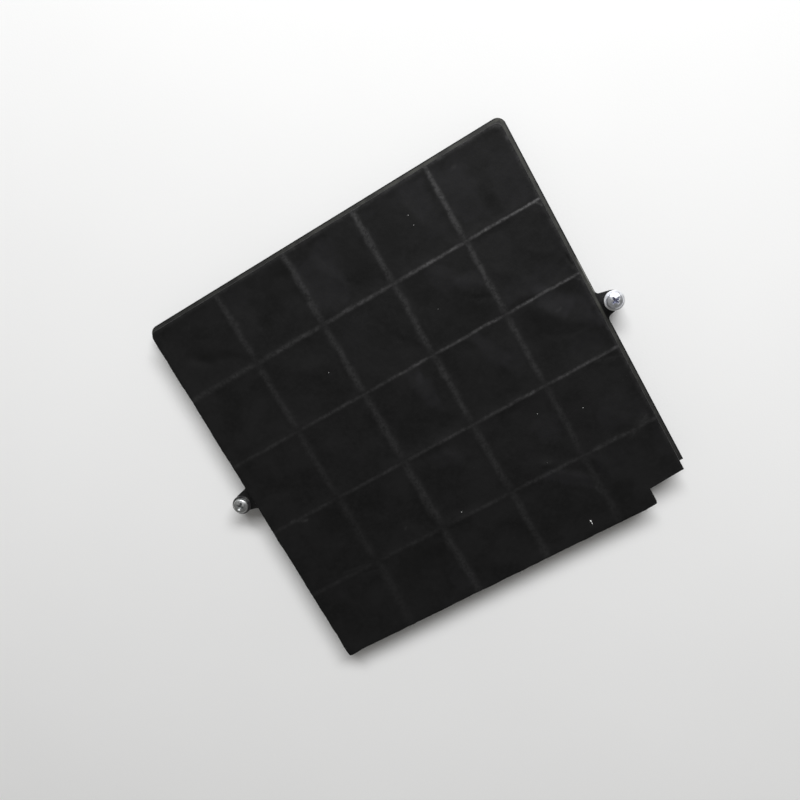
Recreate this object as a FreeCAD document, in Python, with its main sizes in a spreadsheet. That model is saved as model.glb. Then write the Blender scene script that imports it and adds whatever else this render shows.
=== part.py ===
import FreeCAD, Part
import math
import os
import Sketcher

# Carbon filter cassette for a cooker hood, lying on its rear face with the intake face up.
# X runs along the plain side, Y runs from the notched side to the plain side, and Z is up.
# The origin is on the table, under the middle of the cassette. All sizes are in millimetres.

doc = FreeCAD.newDocument("carbon_filter")
sheet = doc.addObject("Spreadsheet::Sheet", "Sizes")

SIZES = [
    ("cell_pitch", 48.8, "distance from one rib to the next"),
    ("cell_count", 5, "cells along each side"),
    ("rib_width", 2.2, "width of the ribs between the cells"),
    ("cell_clip", 1.2, "cut corner of a cell, where two ribs meet"),
    ("wall_thickness", 1.8, "thickness of the outer wall"),
    ("outer_trim", 1.1, "how much narrower the cells beside the wall are"),
    ("wall_corner", 3.6, "outer corner radius of the wall"),
    ("frame_height", 17.4, "height of the wall and the ribs"),
    ("rim_round", 0.6, "rounding of the wall's upper outer edge"),
    ("flange_projection", 3.4, "how far the flange stands out of the wall"),
    ("flange_corner", 5.4, "outer corner radius of the flange"),
    ("flange_thickness", 2.5, "thickness of the flange"),
    ("flange_underside", 7.5, "height of the seating face under the flange"),
    ("flange_gap", 3.4, "bare wall between the flange's ends and the notch"),
    ("notch_length", 23.4, "length of the corner notch along X"),
    ("notch_depth", 11.3, "depth of the corner notch along Y"),
    ("rear_shelf", 1.6, "height of the ledge that the rear fleece is welded to"),
    ("lip_width", 0.8, "width of the lip around the rear fleece"),
    ("ear_reach", 9.9, "screw axis to the outer face of the wall"),
    ("ear_root", 17.5, "width of an ear at the wall"),
    ("ear_tip", 6.0, "radius of an ear's round end"),
    ("ear_relief", 0.5, "how far an ear's underside lies above the seating face"),
    ("ear_fillet", 2.6, "radius between an ear and the flange"),
    ("ear_hole", 4.6, "hole in an ear, smaller than the screw's thread"),
    ("fleece_weld", 0.6, "thickness of the fleece where it is welded"),
    ("fleece_loft", 1.2, "thickness of the loose fleece over a cell"),
    ("fleece_sag", 0.8, "how far the fleece sinks into a cell"),
    ("fleece_slope", 4.6, "width of the slope beside a rib"),
    ("fleece_clip", 2.4, "cut corner of a fleece panel and of a charge of carbon"),
    ("fleece_set_back", 0.4, "bare rim beside the fleece on the plain and right sides"),
    ("fleece_overhang", 0.8, "how far the fleece hangs over the wall on the other two sides"),
    ("notch_overhang", 0.3, "how far the fleece hangs over the notch"),
    ("weld_play", 0.1, "clearance of the welded fleece inside lips and walls"),
    ("bed_play", 0.2, "clearance around a charge of carbon"),
    ("screw_length", 16.0, "screw length under the head"),
    ("thread_size", 5.0, "major diameter of the thread"),
    ("thread_length", 7.0, "threaded length at the tip"),
    ("waist_size", 4.0, "diameter of the relieved shank"),
    ("tip_bevel", 0.7, "bevel at both ends of the thread"),
    ("head_size", 9.6, "diameter of the pan head"),
    ("head_side", 1.7, "height of the pan head's upright side"),
    ("head_height", 3.7, "height of the pan head"),
    ("head_crown", 5.4, "diameter of the flat on top of the pan head"),
    ("recess_width", 5.2, "width of the cross recess"),
    ("recess_blade", 1.3, "width of one arm of the cross recess"),
    ("recess_depth", 2.3, "depth of the cross recess"),
    ("recess_taper", 5.0, "draught of the cross recess in degrees"),
    ("right_screw_turn", 16.0, "angle of the right screw's recess in degrees"),
    ("left_screw_turn", 38.0, "angle of the left screw's recess in degrees"),
    ("washer_size", 12.0, "outer diameter of a washer"),
    ("washer_hole", 4.6, "hole in a washer"),
    ("washer_thickness", 1.0, "thickness of a washer"),
    ("washer_play", 0.1, "gap between a washer and the head"),
]

for row, (alias, size, note) in enumerate(SIZES, start=1):
    sheet.set("A%d" % row, alias)
    sheet.set("B%d" % row, str(size))
    sheet.set("C%d" % row, note)
    sheet.setAlias("B%d" % row, alias)
doc.recompute()

# Derived places, as expressions of the sizes above
CELL = "(Sizes.cell_pitch - Sizes.rib_width)"
INSIDE = "(Sizes.cell_count * Sizes.cell_pitch / 2 - Sizes.rib_width / 2 - Sizes.outer_trim)"
WALL = "(%s + Sizes.wall_thickness)" % INSIDE
EDGE = "(%s + Sizes.flange_projection)" % WALL
FIRST_CELL = "(-(Sizes.cell_count - 1) / 2 * Sizes.cell_pitch)"
NOTCH_X = "(%s - Sizes.notch_length)" % WALL
NOTCH_Y = "(-%s + Sizes.notch_depth)" % WALL
FLANGE_TOP = "(Sizes.flange_underside + Sizes.flange_thickness)"
SCREW_X = "(%s + Sizes.ear_reach)" % WALL
OUTSIDE = "(%s + Sizes.wall_thickness)" % EDGE
PANEL_FACE = "(Sizes.fleece_weld - Sizes.fleece_sag)"
PANEL_BACK = "(%s - Sizes.fleece_loft)" % PANEL_FACE


def number(text):
    return float(sheet.evalExpression(text))


def new_body(label):
    body = doc.addObject("PartDesign::Body", label)
    body.Label = label
    return body


def origin_feature(body, role):
    return next(item for item in body.Origin.OriginFeatures if item.Role == role)


def new_sketch(body, name, plane="XY_Plane", x="0", y="0", z="0"):
    sketch = body.newObject("Sketcher::SketchObject", name)
    sketch.AttachmentSupport = (origin_feature(body, plane), [""])
    sketch.MapMode = "FlatFace"
    sketch.setExpression(".AttachmentOffset.Base.x", x)
    sketch.setExpression(".AttachmentOffset.Base.y", y)
    sketch.setExpression(".AttachmentOffset.Base.z", z)
    return sketch


def constrain(sketch, kind, *places, text=None):
    if text is None:
        sketch.addConstraint(Sketcher.Constraint(kind, *places))
        return
    index = sketch.addConstraint(Sketcher.Constraint(kind, *places, number(text)))
    sketch.setExpression("Constraints[%d]" % index, text)


def polygon(sketch, points):
    # A closed outline of straight lines, each corner tied to the sketch's origin
    spots = [FreeCAD.Vector(number(x), number(y), 0) for x, y in points]
    count = len(spots)
    for i in range(count):
        sketch.addGeometry(Part.LineSegment(spots[i], spots[(i + 1) % count]), False)
    for i in range(count):
        constrain(sketch, "Coincident", i, 2, (i + 1) % count, 1)
    for i, (x, y) in enumerate(points):
        constrain(sketch, "DistanceX", -1, 1, i, 1, text=x)
        constrain(sketch, "DistanceY", -1, 1, i, 1, text=y)
    return sketch


def rounded_box(sketch, left, bottom, right, top, radius):
    # A rectangle with four equal round corners, its sides tied to the sketch's origin
    west, south, east, north, bend = [number(text) for text in (left, bottom, right, top, radius)]
    first = sketch.GeometryCount
    corners = [
        (east - bend, south + bend, -90),
        (east - bend, north - bend, 0),
        (west + bend, north - bend, 90),
        (west + bend, south + bend, 180),
    ]
    sides = [
        ((west + bend, south), (east - bend, south)),
        ((east, south + bend), (east, north - bend)),
        ((east - bend, north), (west + bend, north)),
        ((west, north - bend), (west, south + bend)),
    ]
    for (start, end), (x, y, angle) in zip(sides, corners):
        sketch.addGeometry(Part.LineSegment(FreeCAD.Vector(*start, 0), FreeCAD.Vector(*end, 0)), False)
        circle = Part.Circle(FreeCAD.Vector(x, y, 0), FreeCAD.Vector(0, 0, 1), bend)
        arc = Part.ArcOfCircle(circle, math.radians(angle), math.radians(angle + 90))
        sketch.addGeometry(arc, False)
    for side in range(4):
        line = first + 2 * side
        arc = line + 1
        constrain(sketch, "Tangent", line, 2, arc, 1)
        constrain(sketch, "Tangent", arc, 2, first + (2 * side + 2) % 8, 1)
        constrain(sketch, "Vertical" if side % 2 else "Horizontal", line)
        if side:
            constrain(sketch, "Equal", first + 1, arc)
    constrain(sketch, "Radius", first + 1, text=radius)
    constrain(sketch, "DistanceY", -1, 1, first, 1, text=bottom)
    constrain(sketch, "DistanceX", -1, 1, first + 2, 1, text=right)
    constrain(sketch, "DistanceY", -1, 1, first + 4, 1, text=top)
    constrain(sketch, "DistanceX", -1, 1, first + 6, 1, text=left)
    return sketch


def square(sketch, half, radius):
    return rounded_box(sketch, "-%s" % half, "-%s" % half, half, half, radius)


def clipped_box(sketch, left, bottom, right, top, clip):
    # A rectangle with its corners cut off at 45 degrees
    west, east = "%s + %s" % (left, clip), "%s - %s" % (right, clip)
    south, north = "%s + %s" % (bottom, clip), "%s - %s" % (top, clip)
    return polygon(sketch, [
        (west, bottom), (east, bottom), (right, south), (right, north),
        (east, top), (west, top), (left, north), (left, south)])


def clipped_square(sketch, half, clip):
    return clipped_box(sketch, "-%s" % half, "-%s" % half, half, half, clip)


def ring(sketch, sizes):
    # Circles about the sketch's origin, one for each diameter
    for i, size in enumerate(sizes):
        circle = Part.Circle(FreeCAD.Vector(0, 0, 0), FreeCAD.Vector(0, 0, 1), number(size) / 2)
        sketch.addGeometry(circle, False)
        constrain(sketch, "Coincident", i, 3, -1, 1)
        constrain(sketch, "Diameter", i, text=size)
    return sketch


def pad(body, sketch, name, length):
    feature = body.newObject("PartDesign::Pad", name)
    feature.Profile = sketch
    feature.setExpression("Length", length)
    return feature


def pocket(body, sketch, name, depth=None, upwards=False):
    # Cuts down from the sketch, or up where asked, and right through where no depth is given
    feature = body.newObject("PartDesign::Pocket", name)
    feature.Profile = sketch
    feature.Reversed = upwards
    if depth is None:
        feature.Type = "ThroughAll"
    else:
        feature.setExpression("Length", depth)
    return feature


def repeat_over_cells(body, originals, name):
    # Copies features made for the first cell to every cell of the square grid
    pattern = body.newObject("PartDesign::LinearPattern", name)
    pattern.Originals = originals
    pattern.Direction = (origin_feature(body, "X_Axis"), [""])
    pattern.Direction2 = (origin_feature(body, "Y_Axis"), [""])
    pattern.Mode = "Spacing"
    pattern.Mode2 = "Spacing"
    count = int(number("Sizes.cell_count"))
    pattern.Occurrences = count
    pattern.Occurrences2 = count
    pattern.Spacings = [-1] * (count - 1)  # -1 keeps the common pitch between every pair
    pattern.Spacings2 = [-1] * (count - 1)
    pattern.setExpression("Offset", "Sizes.cell_pitch")
    pattern.setExpression("Offset2", "Sizes.cell_pitch")
    pattern.setExpression("Occurrences", "Sizes.cell_count")
    pattern.setExpression("Occurrences2", "Sizes.cell_count")
    body.Tip = pattern
    return pattern


def notch_box(sketch, margin):
    # The corner notch grown by a margin and run out past the flange
    left = "%s - %s" % (NOTCH_X, margin)
    top = "%s + %s" % (NOTCH_Y, margin)
    return polygon(sketch, [(left, "-" + OUTSIDE), (OUTSIDE, "-" + OUTSIDE), (OUTSIDE, top), (left, top)])


def round_edges(body, name, radius, test):
    # Rounds the edges of the body so far that pass the test
    doc.recompute()
    base = body.Tip
    names = ["Edge%d" % (i + 1) for i, edge in enumerate(base.Shape.Edges) if test(edge)]
    feature = body.newObject("PartDesign::Fillet", name)
    feature.Base = (base, names)
    feature.setExpression("Radius", radius)


def at_height(edge, height):
    box = edge.BoundBox
    return abs(box.ZMin - height) < 0.001 and abs(box.ZMax - height) < 0.001


# The moulded frame: a wall with a flange and two ears, and ribs that part it into cells

def add_flange(body):
    outline = square(new_sketch(body, "flange_outline", z="Sizes.flange_underside"),
                     EDGE, "Sizes.flange_corner")
    pad(body, outline, "flange", "Sizes.flange_thickness")
    gap = new_sketch(body, "flange_gap_outline", z=FLANGE_TOP)
    notch_box(gap, "Sizes.flange_gap")
    pocket(body, gap, "flange_gap")


def add_walls_and_cells(body):
    block = square(new_sketch(body, "wall_outline"), WALL, "Sizes.wall_corner")
    pad(body, block, "wall", "Sizes.frame_height")
    opening = new_sketch(body, "cell_outline", x=FIRST_CELL, y=FIRST_CELL, z="Sizes.frame_height")
    clipped_square(opening, "(%s / 2)" % CELL, "Sizes.cell_clip")
    cell = pocket(body, opening, "cell")
    repeat_over_cells(body, [cell], "cells")
    lining = square(new_sketch(body, "lining_outline"), WALL, "Sizes.wall_corner")
    square(lining, INSIDE, "Sizes.wall_corner - Sizes.wall_thickness")
    pad(body, lining, "lining", "Sizes.frame_height")


def add_notch(body):
    # The wall turns inwards round the notch with its full thickness
    inside = "(%s - Sizes.wall_thickness / 2)" % WALL
    left = NOTCH_X + " - Sizes.wall_thickness"
    top = NOTCH_Y + " + Sizes.wall_thickness"
    wall = polygon(new_sketch(body, "notch_wall_outline"),
                   [(left, "-" + inside), (inside, "-" + inside), (inside, top), (left, top)])
    pad(body, wall, "notch_wall", "Sizes.frame_height")
    cut = notch_box(new_sketch(body, "notch_outline", z="Sizes.frame_height"), "0")
    pocket(body, cut, "notch")


def add_rear_ledge(body):
    # The ribs stop short of the lip, so that the rear fleece lies inside it
    half = "(%s - Sizes.lip_width)" % WALL
    ledge = square(new_sketch(body, "ledge_outline"), half, "Sizes.wall_corner - Sizes.lip_width")
    pocket(body, ledge, "ledge", "Sizes.rear_shelf", upwards=True)
    inner_x = NOTCH_X + " - Sizes.lip_width"
    inner_y = NOTCH_Y + " + Sizes.lip_width"
    lip = polygon(new_sketch(body, "notch_lip_outline"), [
        (inner_x, "-" + half), (NOTCH_X, "-" + half), (NOTCH_X, NOTCH_Y),
        (half, NOTCH_Y), (half, inner_y), (inner_x, inner_y)])
    pad(body, lip, "notch_lip", "Sizes.rear_shelf")


def add_ears(body):
    # A lug that narrows from the wall to a round end, with a hole on the screw's axis
    sketch = new_sketch(body, "ear_outline", x=WALL, z="Sizes.flange_underside + Sizes.ear_relief")
    reach, tip, root, inset = [number(text) for text in (
        "Sizes.ear_reach", "Sizes.ear_tip", "Sizes.ear_root / 2", "-Sizes.wall_thickness / 2")]
    end = FreeCAD.Vector(reach, 0, 0)
    upper, lower = FreeCAD.Vector(reach, tip, 0), FreeCAD.Vector(reach, -tip, 0)
    high, low = FreeCAD.Vector(inset, root, 0), FreeCAD.Vector(inset, -root, 0)
    sketch.addGeometry(Part.LineSegment(low, lower), False)
    sketch.addGeometry(Part.Arc(lower, end + FreeCAD.Vector(tip, 0, 0), upper), False)
    sketch.addGeometry(Part.LineSegment(upper, high), False)
    sketch.addGeometry(Part.LineSegment(high, low), False)
    constrain(sketch, "Tangent", 0, 2, 1, 1)
    constrain(sketch, "Tangent", 1, 2, 2, 1)
    constrain(sketch, "Coincident", 2, 2, 3, 1)
    constrain(sketch, "Coincident", 3, 2, 0, 1)
    constrain(sketch, "PointOnObject", 1, 3, -1)
    constrain(sketch, "DistanceX", -1, 1, 1, 3, text="Sizes.ear_reach")
    constrain(sketch, "Radius", 1, text="Sizes.ear_tip")
    constrain(sketch, "DistanceX", -1, 1, 3, 1, text="-Sizes.wall_thickness / 2")
    constrain(sketch, "DistanceY", -1, 1, 3, 1, text="Sizes.ear_root / 2")
    constrain(sketch, "DistanceX", -1, 1, 3, 2, text="-Sizes.wall_thickness / 2")
    constrain(sketch, "DistanceY", -1, 1, 3, 2, text="-Sizes.ear_root / 2")
    ear = pad(body, sketch, "ear", "Sizes.flange_thickness - Sizes.ear_relief")
    bore = ring(new_sketch(body, "ear_hole_outline", x=SCREW_X, z=FLANGE_TOP), ["Sizes.ear_hole"])
    hole = pocket(body, bore, "ear_hole", "Sizes.flange_thickness")
    pair = body.newObject("PartDesign::Mirrored", "ears")
    pair.Originals = [ear, hole]
    pair.MirrorPlane = (origin_feature(body, "YZ_Plane"), [""])
    body.Tip = pair


def make_frame():
    body = new_body("frame")
    add_flange(body)
    add_walls_and_cells(body)
    add_notch(body)
    add_rear_ledge(body)
    add_ears(body)
    edge = number(EDGE)
    half, wall, height = number(WALL), number("Sizes.wall_thickness"), number("Sizes.frame_height")
    notch_x, notch_y = number(NOTCH_X) - wall / 2, number(NOTCH_Y) + wall / 2

    def at_ear_root(line):
        box = line.BoundBox
        upright = box.XLength < 0.001 and box.YLength < 0.001
        return upright and abs(abs(box.XMin) - edge) < 0.001 and abs(box.YMin) < number("Sizes.ear_root")

    def at_rim(line):
        middle = line.BoundBox.Center
        on_side = max(abs(middle.x), abs(middle.y)) > half - wall / 2
        on_corner = abs(middle.x) + abs(middle.y) > 2 * half - number("Sizes.wall_corner")
        on_notch = middle.x > notch_x and middle.y < notch_y
        return at_height(line, height) and (on_side or on_corner or on_notch)

    round_edges(body, "ear_fillets", "Sizes.ear_fillet", at_ear_root)
    round_edges(body, "rim_rounding", "Sizes.rim_round", at_rim)
    return body


# The two sheets of fleece: a film welded to the ribs, with a soft panel sunk into every cell

def cell_loft(body, kind, name, sections):
    # A loft through clipped squares, each given as its height and its distance inside the cell
    profiles = []
    for step, (z, inset) in enumerate(sections, start=1):
        sketch = new_sketch(body, "%s_section_%d" % (name, step), x=FIRST_CELL, y=FIRST_CELL, z=z)
        profiles.append(clipped_square(sketch, "(%s / 2 - %s)" % (CELL, inset), "Sizes.fleece_clip"))
    loft = body.newObject(kind, name)
    loft.Profile = profiles[0]
    loft.Sections = profiles[1:]
    loft.Ruled = True
    return loft


def make_fleece(label, ledge, way, sides, radius):
    # ledge is the height that it is welded at, and way is + where it lies above or - below
    def level(text):
        return "%s %s (%s)" % (ledge, way, text)

    body = new_body(label)
    lowest_of_film = ledge if way == "+" else level("Sizes.fleece_weld")
    film = rounded_box(new_sketch(body, label + "_outline", z=lowest_of_film), *sides, radius)
    pad(body, film, label + "_film", "Sizes.fleece_weld")
    panel = cell_loft(body, "PartDesign::AdditiveLoft", label + "_panel", [
        (level("0"), "Sizes.bed_play"),
        (level(PANEL_BACK), "Sizes.fleece_slope")])
    hollow = cell_loft(body, "PartDesign::SubtractiveLoft", label + "_hollow", [
        (level("Sizes.fleece_weld"), "0"),
        (level("Sizes.fleece_weld - Sizes.fleece_sag * 0.7"), "(Sizes.fleece_slope * 0.4)"),
        (level(PANEL_FACE), "Sizes.fleece_slope")])
    repeat_over_cells(body, [panel, hollow], label + "_panels")

    # The panels of the outer cells end inside the wall
    inside = "(%s - Sizes.bed_play)" % INSIDE
    lining_room = square(new_sketch(body, label + "_lining_room_outline", z=ledge), OUTSIDE, "Sizes.wall_corner")
    square(lining_room, inside, "Sizes.wall_corner - Sizes.wall_thickness")
    pocket(body, lining_room, label + "_lining_room", "Sizes.frame_height", upwards=(way == "-"))

    # Beside the notch the film turns down to the panel, clear of the wall round the notch
    room = "(Sizes.wall_thickness + Sizes.weld_play)"
    turn_left = "%s - %s - Sizes.fleece_loft" % (NOTCH_X, room)
    turn_top = "%s + %s + Sizes.fleece_loft" % (NOTCH_Y, room)
    turn_base = level(PANEL_BACK) if way == "+" else level("Sizes.fleece_weld")
    turn = polygon(new_sketch(body, label + "_turn_outline", z=turn_base), [
        (turn_left, "-" + inside), (inside, "-" + inside), (inside, turn_top), (turn_left, turn_top)])
    pad(body, turn, label + "_turn", "Sizes.fleece_weld - (%s)" % PANEL_BACK)
    wall_room = notch_box(new_sketch(body, label + "_wall_room_outline", z=ledge), room)
    pocket(body, wall_room, label + "_wall_room", "Sizes.frame_height", upwards=(way == "-"))
    margin = "(-Sizes.notch_overhang)" if way == "+" else "(Sizes.lip_width + Sizes.weld_play)"
    notch = notch_box(new_sketch(body, label + "_notch_outline", z="Sizes.frame_height * 2"), margin)
    pocket(body, notch, label + "_notch")
    return body


# The charges of carbon granules, one in every cell

def make_bed(row, column, count):
    body = new_body("carbon_bed_row%d_column%d" % (row + 1, column + 1))
    x = "(%d - (Sizes.cell_count - 1) / 2) * Sizes.cell_pitch" % column
    y = "(%d - (Sizes.cell_count - 1) / 2) * Sizes.cell_pitch" % row
    floor = "(Sizes.rear_shelf - (%s) + Sizes.bed_play)" % PANEL_BACK
    ceiling = "(Sizes.frame_height + %s - Sizes.bed_play)" % PANEL_BACK
    half = "(%s / 2 - Sizes.bed_play)" % CELL
    trimmed = "(%s - Sizes.outer_trim)" % half
    sides = ["-" + (trimmed if column == 0 else half), "-" + (trimmed if row == 0 else half),
             trimmed if column == count - 1 else half, trimmed if row == count - 1 else half]
    outline = clipped_box(new_sketch(body, "bed_outline"), *sides, "Sizes.fleece_clip")
    pad(body, outline, "bed", "%s - %s" % (ceiling, floor))
    if row == 0 and column == count - 1:
        margin = "(Sizes.wall_thickness + Sizes.bed_play)"
        left = "%s - %s - %s" % (NOTCH_X, x, margin)
        top = "%s - %s + %s" % (NOTCH_Y, y, margin)
        outside = "Sizes.cell_pitch"
        corner = polygon(new_sketch(body, "bed_notch_outline", z=ceiling), [
            (left, "-" + outside), (outside, "-" + outside), (outside, top), (left, top)])
        pocket(body, corner, "bed_notch")
    body.setExpression(".Placement.Base.x", x)
    body.setExpression(".Placement.Base.y", y)
    body.setExpression(".Placement.Base.z", floor)
    return body


# The captive screws and their washers, pushed up by the table that their tips stand on

def make_screw(label, x, turn):
    body = new_body(label)
    thread, waist, head = "Sizes.thread_size / 2", "Sizes.waist_size / 2", "Sizes.head_size / 2"
    top, crown = "(Sizes.screw_length + Sizes.head_height)", "Sizes.head_crown / 2"
    shoulder = "Sizes.thread_length - (Sizes.thread_size - Sizes.waist_size) / 2"
    profile = polygon(new_sketch(body, label + "_profile", "XZ_Plane"), [
        ("0", "0"), (thread + " - Sizes.tip_bevel", "0"), (thread, "Sizes.tip_bevel"),
        (thread, shoulder), (waist, "Sizes.thread_length"), (waist, "Sizes.screw_length"),
        (head, "Sizes.screw_length"), (head, "Sizes.screw_length + Sizes.head_side"),
        ("(%s * 2 + %s) / 3" % (head, crown), "(Sizes.screw_length + Sizes.head_side + 2 * %s) / 3" % top),
        (crown, top), ("0", top)])
    turned = body.newObject("PartDesign::Revolution", label + "_turned")
    turned.Profile = profile
    turned.ReferenceAxis = (profile, ["V_Axis"])
    body.Tip = turned
    wide, thin = "Sizes.recess_width / 2", "Sizes.recess_blade / 2"
    cross = polygon(new_sketch(body, label + "_recess_outline", z=top), [
        (thin, thin), (thin, wide), ("-" + thin, wide), ("-" + thin, thin),
        ("-" + wide, thin), ("-" + wide, "-" + thin), ("-" + thin, "-" + thin),
        ("-" + thin, "-" + wide), (thin, "-" + wide), (thin, "-" + thin),
        (wide, "-" + thin), (wide, thin)])
    recess = pocket(body, cross, label + "_recess", "Sizes.recess_depth")
    recess.setExpression("TaperAngle", "-Sizes.recess_taper")
    body.setExpression(".Placement.Base.x", x)
    body.Placement.Rotation = FreeCAD.Rotation(FreeCAD.Vector(0, 0, 1), number(turn))
    body.setExpression(".Placement.Rotation.Angle", turn)
    return body


def make_washer(label, x):
    body = new_body(label)
    height = "(Sizes.screw_length - Sizes.washer_play - Sizes.washer_thickness)"
    outline = ring(new_sketch(body, label + "_outline"), ["Sizes.washer_size", "Sizes.washer_hole"])
    pad(body, outline, label + "_plate", "Sizes.washer_thickness")
    body.setExpression(".Placement.Base.x", x)
    body.setExpression(".Placement.Base.z", height)
    return body


over_wall, short_of_wall = "-(%s + Sizes.fleece_overhang)" % WALL, "(%s - Sizes.fleece_set_back)" % WALL
front_sides = [over_wall, over_wall, short_of_wall, short_of_wall]
inside_lip = "(%s - Sizes.lip_width - Sizes.weld_play)" % WALL
rear_sides = ["-" + inside_lip, "-" + inside_lip, inside_lip, inside_lip]
rear_corner = "Sizes.wall_corner - Sizes.lip_width - Sizes.weld_play"
cells = int(number("Sizes.cell_count"))

bodies = [
    make_frame(),
    make_fleece("front_fleece", "Sizes.frame_height", "+", front_sides, "Sizes.wall_corner"),
    make_fleece("rear_fleece", "Sizes.rear_shelf", "-", rear_sides, rear_corner),
    make_screw("right_screw", SCREW_X, "Sizes.right_screw_turn"),
    make_screw("left_screw", "-" + SCREW_X, "Sizes.left_screw_turn"),
    make_washer("right_washer", SCREW_X),
    make_washer("left_washer", "-" + SCREW_X),
]
for row in range(cells):
    for column in range(cells):
        bodies.append(make_bed(row, column, cells))
doc.recompute()

for item in doc.Objects:
    if "Invalid" in item.State or "Error" in item.State:
        raise RuntimeError("%s could not be built" % item.Name)
for body in bodies:
    if body.Shape.isNull() or not body.Shape.isValid() or len(body.Shape.Solids) != 1:
        raise RuntimeError("%s is not one sound solid" % body.Label)

os.makedirs("parts", exist_ok=True)
for body in bodies:
    body.Shape.exportStep("parts/%s.step" % body.Label)
    box = body.Shape.BoundBox
    print("%-26s %10.1f mm3   z %6.2f to %6.2f" % (body.Label, body.Shape.Volume, box.ZMin, box.ZMax))
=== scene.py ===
import math
import bpy
import numpy as np
from mathutils import Matrix, Vector, noise


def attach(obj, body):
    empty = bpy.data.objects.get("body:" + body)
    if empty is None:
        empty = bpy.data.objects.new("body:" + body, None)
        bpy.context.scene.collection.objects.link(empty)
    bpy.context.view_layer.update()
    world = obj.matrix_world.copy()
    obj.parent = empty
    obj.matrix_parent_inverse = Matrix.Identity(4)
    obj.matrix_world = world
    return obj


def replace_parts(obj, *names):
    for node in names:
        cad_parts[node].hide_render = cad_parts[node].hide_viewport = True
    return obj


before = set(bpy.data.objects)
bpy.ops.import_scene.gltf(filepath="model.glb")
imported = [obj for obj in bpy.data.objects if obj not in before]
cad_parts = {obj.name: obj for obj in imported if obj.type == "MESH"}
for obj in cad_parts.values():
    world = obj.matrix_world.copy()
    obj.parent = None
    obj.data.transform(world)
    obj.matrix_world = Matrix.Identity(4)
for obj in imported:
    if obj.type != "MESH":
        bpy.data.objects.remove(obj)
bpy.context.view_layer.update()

# Looks of a slim carbon filter cassette for a cooker hood, lying on a white board.
# X runs along the plain side, Y from the notched side to the plain side, Z up.
# Blender works in metres. The numbers in the dictionaries are millimetres where no other unit is given.

mm = 0.001
grid = {
    "ribs": (-73.2, -24.4, 24.4, 73.2),
    "weldEnds": (-121, 121),
    "wallInside": 119.8,
    "wallOutside": 121.6,
    "screwX": 131.5,
}


def setMode(mode):
    bpy.ops.object.mode_set(mode=mode)


def clearSelection():
    if bpy.context.object and bpy.context.object.mode != "OBJECT":
        setMode("OBJECT")
    bpy.ops.object.select_all(action="DESELECT")


def takeNew(name):
    # the object that the last operator added
    piece = bpy.context.object
    piece.name = name
    piece.data.name = name
    return piece


def pick(piece):
    clearSelection()
    piece.select_set(True)
    bpy.context.view_layer.objects.active = piece


def settle(piece):
    # its place goes into its mesh, and the object to the origin
    pick(piece)
    bpy.ops.object.transform_apply(location=True, rotation=True, scale=True)
    return piece


def applyModifiers(piece):
    pick(piece)
    for modifier in list(piece.modifiers):
        bpy.ops.object.modifier_apply(modifier=modifier.name)


def chooseNone(piece, kind):
    # readies a mesh for a choice of faces or edges
    pick(piece)
    setMode("EDIT")
    bpy.ops.mesh.select_mode(type=kind)
    bpy.ops.mesh.select_all(action="DESELECT")
    setMode("OBJECT")


def deleteChosen(kind):
    setMode("EDIT")
    bpy.ops.mesh.delete(type=kind)
    setMode("OBJECT")


def editAll(piece):
    pick(piece)
    setMode("EDIT")
    bpy.ops.mesh.select_mode(type="VERT")
    bpy.ops.mesh.select_all(action="SELECT")


def faceOut(piece):
    editAll(piece)
    bpy.ops.mesh.normals_make_consistent(inside=False)
    setMode("OBJECT")
    return piece


def readPoints(piece):
    points = np.empty(len(piece.data.vertices) * 3)
    piece.data.vertices.foreach_get("co", points)
    return points.reshape(-1, 3)


def writePoints(piece, points):
    piece.data.vertices.foreach_set("co", points.ravel())
    piece.data.update()


def keepValues(piece, name, values):
    # one number for each point, which a finish can read
    piece.data.attributes.new(name, "FLOAT", "POINT").data.foreach_set("value", values)


def finishPiece(piece, body, paint, smooth):
    pick(piece)
    bpy.ops.object.shade_smooth_by_angle(angle=math.radians(smooth))
    piece.data.materials.clear()
    piece.data.materials.append(paint)
    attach(piece, body)
    return piece


wandering = {"layer": 7.3, "gain": 1.6}   # how far apart two seeds lie, and how high the bumps are


def wander(xs, ys, wave, seed):
    # smooth noise from about -1 to 1, with bumps wave mm apart
    z = seed * wandering["layer"]
    spots = zip(xs / wave, ys / wave)
    return np.array([noise.noise(Vector((x, y, z))) for x, y in spots]) * wandering["gain"]


class Flow:
    # wraps a socket, so that shader maths reads as plain sums
    def __init__(self, paint, socket):
        self.paint = paint
        self.socket = socket

    def join(self, operation, first, second):
        return self.paint.node("ShaderNodeMath", {"operation": operation}, {0: first, 1: second})

    def __add__(self, other):
        return self.join("ADD", self, other)

    def __sub__(self, other):
        return self.join("SUBTRACT", self, other)

    def __rsub__(self, other):
        return self.join("SUBTRACT", other, self)

    def __mul__(self, other):
        return self.join("MULTIPLY", self, other)

    def __abs__(self):
        return self.join("ABSOLUTE", self, 0)

    def most(self, other):
        return self.join("MAXIMUM", self, other)


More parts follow.
